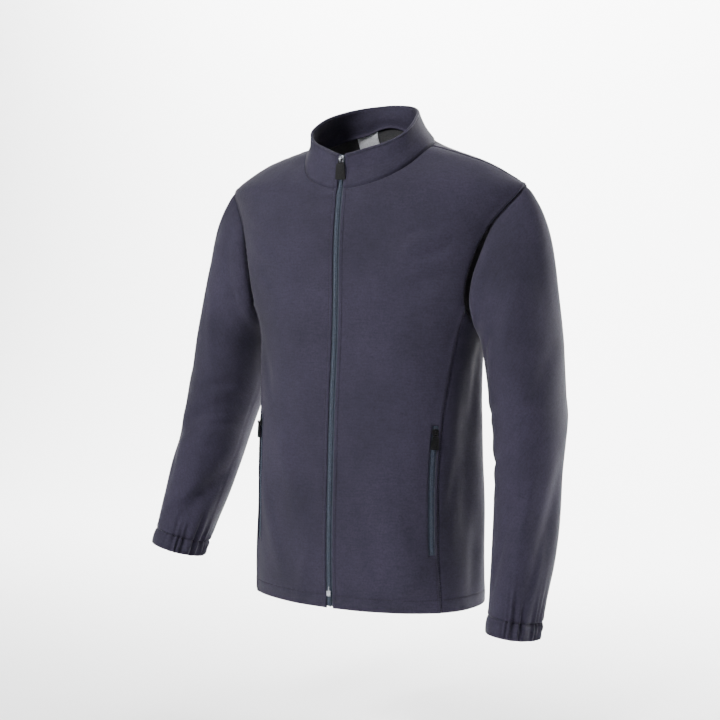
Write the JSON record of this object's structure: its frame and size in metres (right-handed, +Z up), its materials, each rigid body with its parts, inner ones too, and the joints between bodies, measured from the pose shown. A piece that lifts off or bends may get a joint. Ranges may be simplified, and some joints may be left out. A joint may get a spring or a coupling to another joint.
{
  "type": "softshell jacket",
  "caption": "Zip-front softshell jacket, worn form, with stand collar, set-in sleeves, part-elastic cuffs and zipped hand pockets",
  "frame": {"origin": "midway between the two points where the shoulder seams meet the collar, where a wearer's shoulders carry the jacket", "axes": "+Z up, -Y out of the front, +X to the wearer's left"},
  "size_m": [0.6659, 0.2643, 0.7837],
  "materials": {
    "shell_cloth": "matt smooth bonded softshell, dark slate",
    "zip_tape": "matt woven tape, blue-grey",
    "zip_chain": "satin nylon coil, blue-grey",
    "black_plastic": "satin black moulding",
    "bright_metal": "bright satin",
    "label_cloth": "smooth woven label, bare"
  },
  "bodies": {
    "jacket": {"front_left": "shell_cloth", "front_right": "shell_cloth", "side_left": "shell_cloth", "side_right": "shell_cloth", "back": "shell_cloth", "sleeve_left": "shell_cloth", "sleeve_right": "shell_cloth", "cuff_left": "shell_cloth", "cuff_right": "shell_cloth", "collar_outer": "shell_cloth", "collar_inner": "shell_cloth", "zip_tape_left": "zip_tape", "zip_tape_right": "zip_tape", "pocket_tape_left": "zip_tape", "pocket_tape_right": "zip_tape", "zip_chain": "zip_chain", "pocket_chain_left": "zip_chain", "pocket_chain_right": "zip_chain", "pocket_slider_left": "black_plastic", "pocket_slider_right": "black_plastic", "zip_slider": "bright_metal", "zip_box": "bright_metal", "neck_label": "label_cloth"},
    "front_pull": {"zip_pull": "black_plastic"},
    "left_pocket_pull": {"pocket_pull_left": "black_plastic"},
    "right_pocket_pull": {"pocket_pull_right": "black_plastic"}
  },
  "joints": [
    {"name": "front_pull_swing", "type": "hinge", "parent": "jacket", "child": "front_pull", "pos_m": [0, -0.10015, -0.02038], "axis": [-1, 0.0005, 0], "range_deg": [0, 160]},
    {"name": "left_pocket_pull_swing", "type": "hinge", "parent": "jacket", "child": "left_pocket_pull", "pos_m": [0.15444, -0.08706, -0.42182], "axis": [-0.7158, -0.6902, 0.1063], "range_deg": [0, 150]},
    {"name": "right_pocket_pull_swing", "type": "hinge", "parent": "jacket", "child": "right_pocket_pull", "pos_m": [-0.15444, -0.08706, -0.42182], "axis": [-0.7158, 0.6902, -0.1063], "range_deg": [0, 150]}
  ]
}
